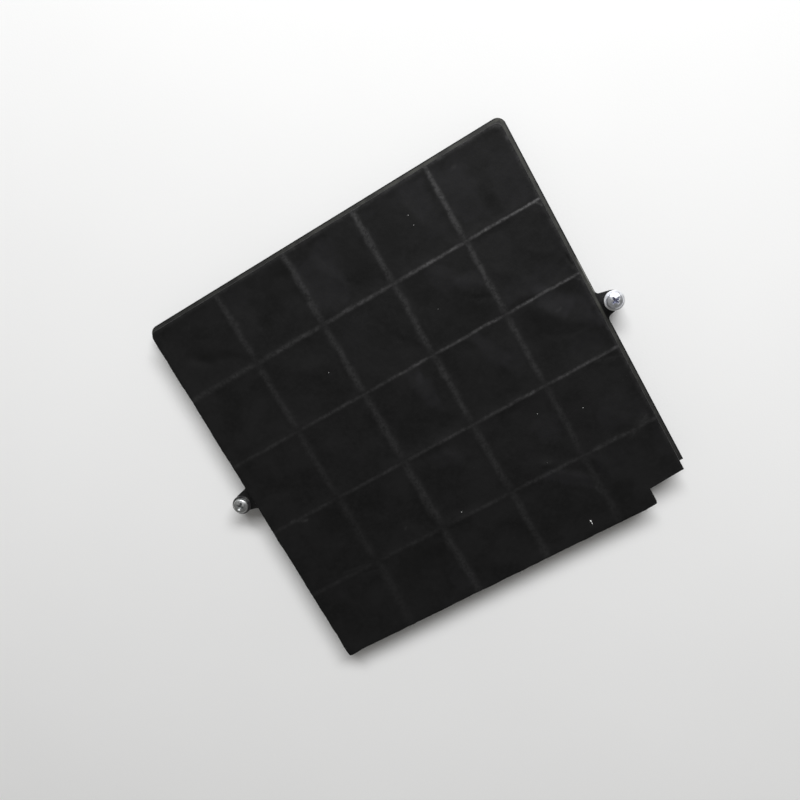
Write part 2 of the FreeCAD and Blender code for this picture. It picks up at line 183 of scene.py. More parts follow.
class Paint:
    # builds the nodes of one material, or of the world
    def __init__(self, owner):
        self.owner = owner
        owner.use_nodes = True
        self.tree = owner.node_tree
        self.tree.nodes.clear()

    def node(self, kind, settings=None, inputs=None, result=0):
        made = self.tree.nodes.new(kind)
        for name, value in (settings or {}).items():
            setattr(made, name, value)
        for place, value in (inputs or {}).items():
            if isinstance(value, Flow):
                self.tree.links.new(value.socket, made.inputs[place])
            else:
                made.inputs[place].default_value = value
        return Flow(self, made.outputs[result]) if made.outputs else made

    def here(self):
        return self.node("ShaderNodeTexCoord", result="Object")

    def kept(self, name):
        # a value that the mesh keeps for each point
        return self.node("ShaderNodeAttribute", {"attribute_name": name}, None, "Fac")

    def turned(self, where, angle, stretch):
        return self.node("ShaderNodeMapping", {"vector_type": "POINT"}, {
            "Vector": where, "Rotation": (0, 0, math.radians(angle)), "Scale": stretch})

    def grain(self, where, scale, detail=2, roughness=0.5, distortion=0):
        return self.node("ShaderNodeTexNoise", None, {
            "Vector": where, "Scale": scale, "Detail": detail,
            "Roughness": roughness, "Distortion": distortion})

    def pebbles(self, where, scale, result="Distance"):
        return self.node("ShaderNodeTexVoronoi", None, {"Vector": where, "Scale": scale}, result)

    def spread(self, value, low, high, bottom=0, top=1):
        # low..high becomes bottom..top, with soft ends
        return self.node("ShaderNodeMapRange", {"interpolation_type": "SMOOTHSTEP"}, {
            "Value": value, "From Min": low, "From Max": high, "To Min": bottom, "To Max": top})

    def blend(self, share, first, second):
        first, second = [c if isinstance(c, Flow) else (*c, 1) for c in (first, second)]
        return self.node("ShaderNodeMix", {"data_type": "RGBA"}, {0: share, 6: first, 7: second}, 2)

    def axes(self, where):
        split = self.node("ShaderNodeSeparateXYZ", None, {0: where})
        outputs = split.socket.node.outputs
        return [Flow(self, outputs[i]) for i in range(3)]

    def relief(self, height, depth, strength=1, below=None):
        inputs = {"Height": height, "Distance": depth, "Strength": strength}
        if below:
            inputs["Normal"] = below
        return self.node("ShaderNodeBump", None, inputs)

    def surface(self, **inputs):
        shader = self.node("ShaderNodeBsdfPrincipled", None, {
            name.replace("_", " "): value for name, value in inputs.items()})
        self.node("ShaderNodeOutputMaterial", None, {"Surface": shader})
        return self.owner


def newPaint(name):
    # the finish, and where its patterns lie
    p = Paint(bpy.data.materials.new(name))
    return p, p.here()


stage = {
    "size": 4.0,     # metres
    "cuts": 24,
}
view = {
    # place and near are metres
    "place": (0.0603088, 0.0603623, 0.4308872),
    "right": (0.8635374, -0.4977559, -0.0808836),
    "up": (0.4780695, 0.8590888, -0.1828005),
    "forward": (-0.1604762, -0.1191871, -0.9798173),
    "sensor": 36, "lens": 31.05, "near": 0.01,
}
light = {
    "towards": (0.57, 0.82),   # the side that the light stands on
    "height": 46,              # degrees over the board
    "distance": 1.95,          # metres
    "size": (1.70, 0.48),      # metres, wide and low
    "power": 45.0,
    "colour": (0.985, 0.99, 1.0),
}
room = {
    "colour": (1.0, 0.985, 0.95),
    "walls": (0.38, 0.85),     # strength away from the lamp, and on its side
    "round": (-0.8, 0.8),      # how the walls run from the one to the other
    "ceiling": 0.17,
    "rise": (0.05, 0.42),      # where the walls turn into the ceiling
}

bpy.ops.object.camera_add(location=view["place"])
camera = bpy.context.object
camera.name = "camera"
turn = Matrix((view["right"], view["up"], [-v for v in view["forward"]])).transposed()
camera.matrix_world = Matrix.Translation(view["place"]) @ turn.to_4x4()
camera.data.sensor_fit = "HORIZONTAL"
camera.data.sensor_width = view["sensor"]
camera.data.lens = view["lens"]
camera.data.clip_start = view["near"]
bpy.context.scene.camera = camera

clearSelection()
bpy.ops.mesh.primitive_grid_add(
    x_subdivisions=stage["cuts"], y_subdivisions=stage["cuts"], size=stage["size"], location=(0, 0, 0))
board = takeNew("board")


def makeBoardPaint():
    p, where = newPaint("white_board")
    cloud = p.grain(where, 7, 3)
    tooth = p.grain(where, 900, 2)
    return p.surface(
        Base_Color=p.blend(cloud, (0.86, 0.86, 0.855), (0.90, 0.90, 0.895)),
        Roughness=p.spread(tooth, 0.3, 0.7, 0.62, 0.75),
        Normal=p.relief(tooth, 0.00004))


board.data.materials.append(makeBoardPaint())

side = Vector((*light["towards"], 0)).normalized()
lift = math.radians(light["height"])
direction = side * math.cos(lift) + Vector((0, 0, math.sin(lift)))
bpy.ops.object.light_add(type="AREA", location=direction * light["distance"])
lamp = bpy.context.object
lamp.name = "soft_box"
lamp.data.shape = "RECTANGLE"
lamp.data.size, lamp.data.size_y = light["size"]
lamp.data.energy = light["power"]
lamp.data.color = light["colour"]
lamp.rotation_euler = (-direction).to_track_quat("-Z", "Y").to_euler()


def makeSky():
    # a plain pale room: its walls are light, most of all behind the lamp, and its ceiling is dimmer
    world = bpy.data.worlds.new("pale_room")
    bpy.context.scene.world = world
    p = Paint(world)
    where = p.node("ShaderNodeTexCoord", result="Generated")
    height = p.axes(where)[2]
    lampSide = (*light["towards"], 0)
    facing = p.node("ShaderNodeVectorMath", {"operation": "DOT_PRODUCT"},
                    {0: where, 1: lampSide}, "Value")
    walls = p.spread(facing, *room["round"], *room["walls"])
    strength = p.spread(height, *room["rise"], walls, room["ceiling"])
    colour = (*room["colour"], 1)
    background = p.node("ShaderNodeBackground", None, {"Color": colour, "Strength": strength})
    p.node("ShaderNodeOutputWorld", None, {"Surface": background})


makeSky()
bpy.context.scene.view_settings.view_transform = "Standard"
print("camera, board and light are set")


fleeceLook = {
    "fibres": ((22, (5200, 620, 2400)), (96, (4800, 560, 2400)), (151, (5000, 600, 2400))),
    "deep": (0.0015, 0.0015, 0.0015), "plain": (0.0053, 0.0052, 0.0054),
    "mottle": (0.0066, 0.0065, 0.0066),
    # the lighter and darker patch tones are painted sheen and painted shade
    "napSheen": (0.0112, 0.0109, 0.0122), "napShade": (0.0006, 0.0006, 0.0005),
    # the weld tone is partly painted highlight
    "weldAndHighlight": (0.085, 0.084, 0.085), "dust": (0.07, 0.07, 0.068),
}


def makeFleecePaint():
    look = fleeceLook
    p, where = newPaint("black_fleece")
    layers = [p.grain(p.turned(where, *lay), 1, 2, 0.6, 0.6) for lay in look["fibres"]]
    fibres = layers[0].most(layers[1]).most(layers[2])
    mottle = p.grain(where, 330, 3, 0.6)
    cloud = p.grain(where, 46, 3, 0.6, 0.4)
    # where the welding tool flattened the fibres they shine a little, in flecks; their lighter tone,
    # brightest towards the top right, is partly painted highlight
    flecks = p.grain(where, 640, 3, 0.65)
    weldsAndHighlights = p.kept("weldsAndHighlights") * p.spread(flecks, 0.30, 0.62, 0.35, 1.25)
    # painted sheen and painted shade: patches where the pile seems to stand up or lie down are painted
    # lighter or darker
    napSheenShade = p.kept("napSheenShade")
    motes = p.spread(p.pebbles(where, 420), 0.05, 0.11, 1, 0)
    dust = motes * p.spread(p.grain(where, 55, 2), 0.6, 0.72)
    shade = p.blend(p.spread(cloud, 0.3, 0.7), look["deep"], look["plain"])
    shade = p.blend(p.spread(mottle, 0.35, 0.75, 0, 0.5), shade, look["mottle"])
    # painted sheen and painted shade, in patches
    shade = p.blend(napSheenShade, shade, look["napSheen"])
    shade = p.blend(0 - napSheenShade, shade, look["napShade"])
    # weld marks with painted highlight
    shade = p.blend(weldsAndHighlights * 0.95, shade, look["weldAndHighlight"])
    shade = p.blend(dust * 0.25, shade, look["dust"])
    fuzz = p.relief(fibres, 0.00010, 0.5)
    fuzz = p.relief(mottle, 0.00022, 0.5, fuzz)
    return p.surface(
        Base_Color=shade,
        Roughness=p.spread(weldsAndHighlights, 0, 0.5, 0.66, 0.50),
        Specular_IOR_Level=0.19,
        Sheen_Weight=0.03,
        Sheen_Roughness=0.45,
        Normal=fuzz)


frameLook = {
    # metres, as the nodes measure
    "edge": 0.125, "top": 0.0097,      # the flange's edge, and just under its top
    "beyond": (0.1251, 0.1256),        # past the edge only the ears go on
    "bandOuter": (0.0005, 0.0011), "bandInner": (0.0019, 0.0027),
    # the marks by the right ear, from here outwards, are painted highlights
    "byEar": (0.120, 0.122),           # where the right ear's marks start
    "plain": (0.0065, 0.0065, 0.0070), "cloud": (0.0098, 0.0096, 0.0096), "ear": (0.018, 0.018, 0.018),
    # the pale flange tones stand for painted highlight with some wear, and a painted glint by the right
    # ear
    "rubbedAndHighlight": (0.085, 0.086, 0.076), "dust": (0.035, 0.035, 0.033), "paintedGlint": (0.24, 0.24, 0.22),
}


def makeFramePaint():
    look = frameLook
    p, where = newPaint("black_moulded_plastic")
    x, y, z = p.axes(where)
    texture = p.grain(where, 1400, 3, 0.55)
    flow = p.grain(where, 60, 3)
    scratches = p.spread(p.grain(p.turned(where, 8, (3000, 60, 400)), 1, 3, 0.6), 0.60, 0.72)
    # painted highlight with some wear: the flange's top is painted pale in a thin uneven band near its
    # edge, growing towards the top right, the lamp's side, most on the right and beside the right ear
    onTop = p.spread(abs(z - look["top"]), 0.0002, 0.0008, 1, 0)
    flangeTop = onTop * p.spread(abs(x), *look["beyond"], 1, 0)
    fromEdge = look["edge"] - abs(x).most(abs(y))
    band = p.spread(fromEdge, *look["bandOuter"]) * p.spread(fromEdge, *look["bandInner"], 1, 0.25)
    patchy = p.spread(p.grain(where, 95, 3, 0.6), 0.35, 0.65, 0.3, 1)
    patchyTowardsLamp = patchy * p.spread(x + y, -0.02, 0.22, 0.3, 1)
    byEar = p.spread(abs(y), 0.004, 0.010, 0.3, 0) * p.spread(x, *look["byEar"])
    rubbedAndHighlight = flangeTop * band * (patchyTowardsLamp * 0.8 + byEar)
    # a painted highlight: a bright sliver beside the right ear, where the flange's top catches the lamp
    spot = p.spread(y, 0.0075, 0.011) * p.spread(y, 0.029, 0.034, 1, 0) * p.spread(x, *look["byEar"])
    sliver = p.spread(fromEdge, 0.0001, 0.0004) * p.spread(fromEdge, 0.0005, 0.0010, 1, 0)
    paintedGlint = flangeTop * spot * sliver * p.spread(p.grain(where, 330, 3, 0.6), 0.3, 0.5, 0.25, 1)
    ear = p.spread(abs(x), 0.1253, 0.1268)
    dust = p.spread(p.grain(where, 620, 4, 0.7), 0.56, 0.72) * 0.2
    shade = p.blend(flow, look["plain"], look["cloud"])
    shade = p.blend(ear * 0.6, shade, look["ear"])
    # painted highlight with some wear on the flange's top
    shade = p.blend(rubbedAndHighlight, shade, look["rubbedAndHighlight"])
    shade = p.blend(dust, shade, look["dust"])
    # the painted glint by the right ear
    shade = p.blend(paintedGlint * 0.9, shade, look["paintedGlint"])
    return p.surface(
        Base_Color=shade,
        Roughness=p.spread(rubbedAndHighlight + scratches * 0.5, 0, 1, 0.46, 0.34),
        Specular_IOR_Level=0.32,
        Normal=p.relief(texture, 0.00006, 0.5))


def makeZincPaint(name, bright, dark, roughness, shadeTint=(0.17, 0.18, 0.31)):
    p, where = newPaint(name)
    stain = p.grain(where, 420, 3, 0.6)
    pits = p.spread(p.grain(where, 3200, 2), 0.62, 0.75)
    brushed = p.grain(p.turned(where, 0, (900, 900, 9000)), 1, 2)
    # painted shade in the cross recess and on the head's side over the washer
    paintedShade = p.kept("paintedShade") * p.spread(p.grain(where, 1500, 2), 0.2, 0.5, 0.7, 1)
    shade = p.blend(p.spread(stain, 0.3, 0.7), dark, bright)
    shade = p.blend(pits * 0.5, shade, (0.25, 0.25, 0.26))
    shade = p.blend(paintedShade * 0.85, shade, shadeTint)
    return p.surface(
        Base_Color=shade,
        Metallic=p.spread(pits.most(paintedShade), 0, 1, 1.0, 0.7),
        Roughness=p.spread(stain, 0.3, 0.7, roughness, roughness + 0.12),
        Normal=p.relief(brushed, 0.00002, 0.5))


def makeCarbonPaint():
    p, where = newPaint("carbon_granules")
    lumps = p.pebbles(where, 520)
    tint = p.node("ShaderNodeSeparateColor", None, {0: p.pebbles(where, 520, "Color")})
    glint = p.spread(p.grain(where, 2600, 2), 0.62, 0.7)
    shade = p.blend(tint, (0.010, 0.010, 0.010), (0.028, 0.028, 0.029))
    shade = p.blend(glint * 0.4, shade, (0.09, 0.09, 0.09))
    return p.surface(
        Base_Color=shade,
        Roughness=p.spread(glint, 0, 1, 0.78, 0.42),
        Normal=p.relief(1 - lumps, 0.0009, 0.9))


def makeLintPaint(name, dark, bright):
    p, where = newPaint(name)
    strands = p.grain(p.turned(where, 30, (6000, 900, 900)), 1, 3)
    return p.surface(
        Base_Color=p.blend(strands, dark, bright),
        Roughness=0.85,
        Normal=p.relief(strands, 0.00008))


def makeFibrePaint():
    p, where = newPaint("fleece_fibres")
    tone = p.grain(where, 700, 2)
    return p.surface(
        Base_Color=p.blend(tone, (0.011, 0.011, 0.011), (0.045, 0.045, 0.044)),
        Roughness=p.spread(tone, 0.3, 0.7, 0.45, 0.65))


fleecePaint = makeFleecePaint()
framePaint = makeFramePaint()
carbonPaint = makeCarbonPaint()
flakePaint = makeLintPaint("white_lint", (0.58, 0.58, 0.57), (0.84, 0.84, 0.83))
speckPaint = makeLintPaint("grey_specks", (0.22, 0.22, 0.22), (0.44, 0.44, 0.43))
fibrePaint = makeFibrePaint()
rightZinc = makeZincPaint("bright_zinc", (0.88, 0.90, 0.95), (0.76, 0.78, 0.83), 0.26)
leftZinc = makeZincPaint("dull_zinc", (0.56, 0.57, 0.57), (0.38, 0.39, 0.39), 0.38, (0.15, 0.16, 0.16))
palePlate = makeZincPaint("pale_zinc", (0.93, 0.94, 0.96), (0.86, 0.87, 0.90), 0.42)
# painted shade: the left washer is painted dark, standing in for the head's shadow over it
shadedPlate = makeZincPaint("zinc_painted_shade", (0.17, 0.17, 0.165), (0.06, 0.06, 0.065), 0.36)

for name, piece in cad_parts.items():
    if name == "frame" or name.startswith("carbon_bed"):
        piece.data.materials.clear()
        piece.data.materials.append(framePaint if name == "frame" else carbonPaint)
print("finishes are made")


frontFleece = {
    "left": -122.4, "right": 121.2, "bottom": -122.4, "top": 121.2,
    "notchX": 98.5, "notchY": -110.6,
    "notchSlant": 0.9,             # the cut beside the notch runs a little askew
    "corners": (1.0, 3.8, 5.6),    # bottom left, top left, top right
    "weldHeight": 18.0, "way": 1, "thickness": 0.5,
    "fine": 0.56, "coarse": 1.75, "reach": 5.2,    # spacing of the edge loops by the ribs and between
    "rowWeld": 0.5, "columnWeld": 0.8, "wallWeld": 0.2,
    "slope": 8.0, "wallSlope": 15.0, "sag": 0.30,
    "innerRound": 1.4, "wallRound": 5.0,
    "ragged": 0.18, "droop": 0.45,
}
rearFleece = {
    "left": -120.7, "right": 120.7, "bottom": -120.7, "top": 120.7,
    "notchX": 97.3, "notchY": -109.4,
    "notchSlant": 0.0,
    "corners": (2.5, 2.5, 2.5),
    "weldHeight": 1.0, "way": -1, "thickness": 0.5,
    "fine": 0.75, "coarse": 2.2, "reach": 5.2,
    "rowWeld": 0.9, "columnWeld": 0.9, "wallWeld": 0.2,
    "slope": 7.0, "wallSlope": 10.0, "sag": 0.6,
    "innerRound": 1.4, "wallRound": 3.0,
    "ragged": 0.10, "droop": 0.0,
}
welding = {
    "groove": (0.06, 0.8),     # depth and half width of the dent over the row ribs
    "slopePower": 2.6, "forcePower": 2.6,
    "softFold": 2, "crispFold": 1.05,    # how sharp folds and ridges are
    "foldBow": (0.06, 5),      # how much of its length a fold bows, and how often
    "foldEnd": 0.3,            # it runs out over this share of its length
    "foldOnRib": 0.25,         # what is left of it where the sheet is welded down
    "columnSteady": 0.4,       # the share of a column weld that doesn't flicker
    "crossing": (0.6, 6),      # a weld fades by this share where ribs cross, over this half width
    "rearForce": (0.10, 1.6),  # force and half width of all the rear's welds
    # painted highlight: the light band along the cut edge, rising towards the top right, the lamp's
    # side
    "rim": (0.42, 1.5),        # force and half width along the cut edge
    "rimHighlightRise": (40, 520),      # it grows towards the top right
    "rimLimits": (0.02, 0.5),
    "most": 1.6,
}
cutting = {
    "slack": 0.01,
    "notchRim": 2.2,
    "frayed": 2.2,      # how far in from its edge a sheet frays
    "hang": 0.8,
    "tipReach": 2.4, "tipPull": 0.55,    # the rounding of the tips beside the notch
    "slantReach": 6,
    # the front's bottom left corner runs out in a small horn
    "horn": -119, "hornWidth": 4.0, "hornReach": 5, "hornOut": 0.8,
}
# layers of noise over both sheets: size and wave in mm, and seed
ripples = {
    "sag": ((0.35, 70, 5),),
    "flat": ((0.05, 5, 9),),
    "droop": ((0.5, 9, 12),),
    "flickerWide": ((0.30, 9, 13),),
    "flickerFine": ((0.45, 2.4, 16),),
    "rim": ((0.8, 5, 14),),
    "sheenShadeDepth": ((0.35, 4.5, 20),),
    "ridge": ((0.9, 12, 21),),
    "ribX": ((0.30, 11, 1), (0.16, 3.1, 2)),
    "ribY": ((0.20, 13, 3), (0.16, 3.3, 4)),
    "quilt": ((0.30, 34, 6), (0.18, 16, 7), (0.06, 6, 8)),
    "rag": ((1, 7, 10), (0.6, 1.7, 11)),
    "width": ((0.22, 7, 15), (0.18, 2.8, 19)),
    "napSheenShade": ((0.30, 10, 17), (0.20, 3.6, 18)),
}
# the weld over each rib of the front, painted brighter towards the top right, the lamp's side, as
# painted highlight:
# the rib, and at its two ends how far the weld strays, its force and its half width in mm
rowWelds = [
    (73.2, (-0.3, -0.6), (0.10, 1.10), (1.8, 0.6)),
    (24.4, (-0.6, 0.0), (0.08, 0.75), (1.2, 0.7)),
    (-24.4, (-1.2, 0.0), (0.08, 0.45), (1.2, 0.9)),
    (-73.2, (-1.0, -0.2), (0.06, 0.15), (1.3, 1.3)),
]
columnWelds = [
    (-73.2, (-0.3, 0.1), (0.04, 0.15), (2.8, 1.8)),
    (-24.4, (-0.4, -0.2), (0.10, 0.22), (2.6, 2.0)),
    (24.4, (-0.3, -0.3), (0.08, 0.30), (2.4, 1.7)),
    (73.2, (0.0, -0.2), (0.05, 0.50), (2.3, 1.4)),
]
# other light strokes, partly handling marks and partly painted highlights: start, end, force, half
# width
strokes = [
    ((-107, -24.6), (-99, -28.4), 0.16, 0.9), ((117.6, 72.9), (120.4, 68.5), 0.50, 0.6),
    ((120.6, 68.0), (120.8, 40.0), 0.10, 0.8), ((117.0, 24.0), (120.4, 20.5), 0.25, 0.7),
    ((106, -26.0), (120, -30.5), 0.08, 1.2), ((71, -96), (73, -100), 0.10, 1.6),
    ((104, -75.5), (116, -70.5), 0.10, 2.6), ((-46.4, -64.8), (-45.2, -62.8), 0.08, 0.5),
    ((50.2, -66.6), (53.4, -68.2), 0.06, 0.9), ((100.5, 11.6), (103.2, 10.2), 0.12, 0.5),
    ((86.5, 112.6), (88.2, 112.0), 0.14, 0.6), ((-101.5, 114.5), (-98.5, 112.6), 0.05, 0.7),
]
# crisp ridges in the front sheet, light on the side that faces the lamp:
# start, end, height and half width in mm
ridges = [
    ((87, 25), (96, 9), 0.75, 6.0), ((96, 9), (112, -3), 0.55, 5.0),
    ((46, 70), (66, 46), 0.45, 6.0), ((5, 24), (9, -6), 0.45, 5.0), ((48, 24), (58, -8), 0.45, 5.5),
    ((52, 118), (56, 92), 0.40, 5.5), ((54, -74), (72, -90), 0.45, 5.0),
    ((-6, 116), (2, 84), -0.35, 6.0), ((78, 60), (92, 30), 0.25, 6.0),
    ((90, -34), (100, -66), 0.25, 6.0), ((-66, 68), (-44, 48), 0.20, 5.0),
]
# soft folds and creases in the front sheet: start, end, height and half width in mm
folds = [
    ((60, 43), (72.5, 36.5), -0.42, 0.9), ((58, 46), (71, 40), 0.22, 3.0),
    ((92, -0.5), (110, -6.8), -0.30, 1.2), ((119.3, 36.5), (119.6, 30.5), -1.60, 0.8),
    ((10, 45), (17, 36), -0.30, 1.4), ((14, 42), (21, 33), 0.20, 2.0),
    ((70, -70), (80, -84), 0.40, 3.4), ((62, -74), (74, -88), -0.30, 2.8),
    ((48, -66), (54, -70), 0.30, 1.8), ((86, -58), (84, -66), 0.26, 1.6),
    ((-104, 92), (-86, 83), -0.32, 2.5), ((-60, 118), (-52, 104), 0.22, 4.0),
    ((-12, 112), (-4, 92), 0.25, 5.0), ((94, 92), (93, 82), -0.28, 3.0),
    ((-112, 34), (-98, 24), 0.22, 5.0), ((-50, 66), (-42, 50), 0.22, 5.0),
    ((2, -36), (14, -42), 0.25, 3.0), ((-47, -60), (-43, -68), 0.20, 1.8),
    ((96, -74), (118, -70), 0.28, 2.6), ((104, 48), (112, 42), 0.20, 2.4),
    ((-59, 91), (-56, 90), -0.35, 1.6), ((-104, -63), (-101, -67), -0.35, 1.3),
    ((-92, -70), (-84, -71.5), -0.28, 1.1), ((-85, -76), (-77, -78.5), -0.28, 1.1),
    ((-36, 111.5), (-32, 110.5), -0.28, 1.0), ((-115, 100), (-108, 88), 0.20, 4.0),
]
# how far out a patch of painted sheen and shade reaches, and over how much it fades
sheenShadeEdge = {"reach": 1.2, "fade": 0.55}
# patches painted lighter (+, painted sheen) or darker (-, painted shade): middle, half length, half
# width, angle and strength
sheenShadePatches = [
    (-10, 99, 21, 14, 80, 0.42), (13, 98, 22, 8, 85, -0.45), (60, 110, 13, 9, 100, 0.45),
    (63, 92, 10, 9, 0, 0.22), (34, 95, 21, 8, 70, -0.40), (52, 78, 17, 4, -12, -0.25),
    (84, 98, 22, 12, 90, 0.36), (111, 92, 20, 10, 90, 0.34), (98, 113, 20, 7, 0, 0.15),
    (96, 86, 10, 4, 110, -0.30), (52, 60, 14, 6, -45, 0.34), (64, 51, 10, 6, -30, 0.34),
    (35, 62, 11, 8, 90, -0.40), (52, 35, 16, 7, -15, -0.50), (97, 33, 23, 8, 0, 0.38),
    (86, 62, 10, 9, 0, 0.06), (9, 6, 17, 6, 95, 0.45), (9, 15, 4, 2.2, 60, 0.35),
    (-13, -9, 12, 9, 0, -0.20), (55, 9, 16, 6, 110, 0.36), (63, -3, 9, 7, 0, 0.24),
    (36, 4, 14, 8, 90, -0.25), (101, 17, 12, 7, -55, 0.62), (112, 9, 9, 6, -40, 0.40),
    (114, -3, 8, 5, -30, 0.34), (104, -14, 13, 6, -10, 0.22), (84, 7, 14, 8, 110, -0.42),
    (13, 43, 13, 8, -25, -0.40), (-9, 61, 13, 8, 0, 0.15), (0, -35, 12, 7, -20, 0.28),
    (62, -48, 10, 9, 0, 0.30), (103, -57, 14, 12, -30, 0.24), (58, -81, 18, 5, -38, 0.42),
    (85, -84, 10, 12, 0, 0.20), (-30, -108, 8, 9, 0, 0.18), (-46, -86, 18, 9, 0, -0.42),
    (84, -103, 9, 6, 0, -0.55), (-86, -37, 10, 9, -30, -0.40), (-53, -38, 9, 8, 0, -0.30),
    (-102, -79, 15, 9, -20, 0.10), (-38, 103, 14, 10, 70, -0.50), (-62, 112, 9, 8, 0, 0.22),
    (-92, 88, 15, 6, -35, -0.45), (-40, 36, 12, 7, -10, -0.20), (40, -60, 13, 9, -20, 0.06),
    (-112, 8, 9, 12, 0, -0.15), (119.5, 33.5, 3.6, 1.1, 88, -1.00), (118.5, 8, 14, 4, 92, 0.25),
    (48, 116, 22, 5, 0, 0.20), (116, 50, 16, 4, 90, 0.12), (117, -90, 12, 4, 90, 0.25),
]


def ripple(xs, ys, name):
    return sum(size * wander(xs, ys, wave, seed) for size, wave, seed in ripples[name])


def sheetLines(low, high, spec):
    # where the sheet's edge loops lie along one axis: close together beside the ribs
    samples = 6001
    walk = np.linspace(low, high, samples)
    marks = (*grid["ribs"], -grid["wallInside"], grid["wallInside"])
    near = np.min([abs(walk - mark) for mark in marks], axis=0)
    density = np.where(near < spec["reach"], 1 / spec["fine"], 1 / spec["coarse"])
    between = (density[1:] + density[:-1]) / 2
    count = np.concatenate([[0], np.cumsum(between) * (walk[1] - walk[0])])
    steps = int(round(count[-1]))
    return np.interp(np.linspace(0, count[-1], steps + 1), count, walk)


def snapLine(lines, spot):
    lines[np.argmin(abs(lines - spot))] = spot


def insideCell(dx, dy, radius):
    # how far a point is inside a cell's outline, whose corners are rounded
    inCorner = (dx < radius) & (dy < radius)
    reach = radius - np.hypot(np.maximum(radius - dx, 0), np.maximum(radius - dy, 0))
    return np.where(inCorner, reach, np.minimum(dx, dy))


def dipInto(distance, slope):
    t = np.clip(distance / slope, 0, 1)
    return 1 - (1 - t) ** welding["slopePower"]


def alongLine(xs, ys, start, end):
    # each point's place along and across a line, how far past its ends it is, and the line's length
    (x0, y0), (x1, y1) = start, end
    length = math.hypot(x1 - x0, y1 - y0)
    ux, uy = (x1 - x0) / length, (y1 - y0) / length
    along = (xs - x0) * ux + (ys - y0) * uy
    across = (ys - y0) * ux - (xs - x0) * uy
    return along, across, np.maximum(np.maximum(-along, along - length), 0), length


def foldHeight(xs, ys):
    total = np.zeros(len(xs))
    wobble = ripple(xs, ys, "ridge")
    soft, crisp = welding["softFold"], welding["crispFold"]
    (bow, turns), runOut = welding["foldBow"], welding["foldEnd"]
    for start, end, height, width, power in [(*f, soft) for f in folds] + [(*r, crisp) for r in ridges]:
        along, across, over, length = alongLine(xs, ys, start, end)
        across = across + bow * length * np.sin(along / length * turns)
        if power == crisp:
            across = across + wobble
        total += height * np.exp(-abs(across / width) ** power - (over / (runOut * length)) ** 2)
    return total


def weldAndHighlightForce(along, across, stray, forces, widths):
    # how bright one rib's weld is painted: the weld's own tone, growing along the rib towards the
    # lamp's side as painted highlight
    run = np.interp(along, grid["weldEnds"], (0, 1))
    weak, strong = forces
    fade, reach = welding["crossing"]
    force = weak * (strong / weak) ** run * (1 - fade * np.exp(-(ribDistance(along) / reach) ** 2))
    strayed = across - np.interp(run, (0, 1), stray)
    return force * np.exp(-abs(strayed / np.interp(run, (0, 1), widths)) ** welding["forcePower"])


def strokeForce(xs, ys):
    total = np.zeros(len(xs))
    for start, end, force, width in strokes:
        across, over = alongLine(xs, ys, start, end)[1:3]
        total = np.maximum(total, force * np.exp(-(np.hypot(across, over) / width) ** 2))
    return total


def napSheenShadeOver(xs, ys):
    wobble = ripple(xs, ys, "napSheenShade")
    total = np.zeros(len(xs))
    for x, y, long, wide, angle, strength in sheenShadePatches:
        turnBy = math.radians(angle)
        along = (xs - x) * math.cos(turnBy) + (ys - y) * math.sin(turnBy)
        across = (ys - y) * math.cos(turnBy) - (xs - x) * math.sin(turnBy)
        out = np.hypot(along / long, across / wide) + wobble
        t = np.clip((sheenShadeEdge["reach"] - out) / sheenShadeEdge["fade"], 0, 1)
        total += strength * t * t * (3 - 2 * t)
    return np.clip(total * (1 + ripple(xs, ys, "sheenShadeDepth")), -1, 1)


def roundCorner(xs, ys, spec):
    # the square sheet's corners are drawn in to an arc
    low, lowTop, high = spec["corners"]
    corners = ((-1, -1, low), (-1, 1, lowTop), (1, 1, high))
    for sx, sy, radius in corners:
        cx = spec["left"] + radius if sx < 0 else spec["right"] - radius
        cy = spec["bottom"] + radius if sy < 0 else spec["top"] - radius
        dx, dy = (xs - cx) * sx, (ys - cy) * sy
        inside = (dx > 0) & (dy > 0)
        long = np.maximum(dx[inside], dy[inside])
        pull = long / np.hypot(dx[inside], dy[inside])
        xs[inside] = cx + sx * dx[inside] * pull
        ys[inside] = cy + sy * dy[inside] * pull
    # the tips beside the notch are a little rounded too
    for cx, cy in ((spec["right"], spec["notchY"]), (spec["notchX"], spec["bottom"])):
        near = np.hypot(xs - cx, ys - cy)
        share = cutting["tipPull"] * np.clip(1 - near / cutting["tipReach"], 0, 1)
        xs -= share
        ys += share


def layOut(piece, xLines, yLines):
    # the flat mesh runs from -1 to 1, and its points take the places of the edge loops
    points = readPoints(piece)
    column = np.round((points[:, 0] + 1) / 2 * (len(xLines) - 1)).astype(int)
    row = np.round((points[:, 1] + 1) / 2 * (len(yLines) - 1)).astype(int)
    return xLines[column], yLines[row]


def cutSheet(name, spec):
    # a flat sheet without the notch
    xLines = sheetLines(spec["left"], spec["right"], spec)
    yLines = sheetLines(spec["bottom"], spec["top"], spec)
    snapLine(xLines, spec["notchX"])
    snapLine(yLines, spec["notchY"])
    clearSelection()
    bpy.ops.mesh.primitive_grid_add(
        x_subdivisions=len(xLines) - 1, y_subdivisions=len(yLines) - 1, size=2)
    piece = takeNew(name)
    xs, ys = layOut(piece, xLines, yLines)
    chooseNone(piece, "FACE")
    inNotch = (xs > spec["notchX"] - cutting["slack"]) & (ys < spec["notchY"] + cutting["slack"])
    for face in piece.data.polygons:
        face.select = all(inNotch[i] for i in face.vertices)
    deleteChosen("FACE")
    return (piece, *layOut(piece, xLines, yLines))


def edgeDistance(xs, ys, spec):
    # how far each point is inside the cut edge
    edge = np.minimum.reduce([
        xs - spec["left"], spec["right"] - xs, ys - spec["bottom"], spec["top"] - ys])
    beside = np.maximum(spec["notchX"] - xs, ys - spec["notchY"])
    return np.minimum(edge, np.maximum(beside, 0))


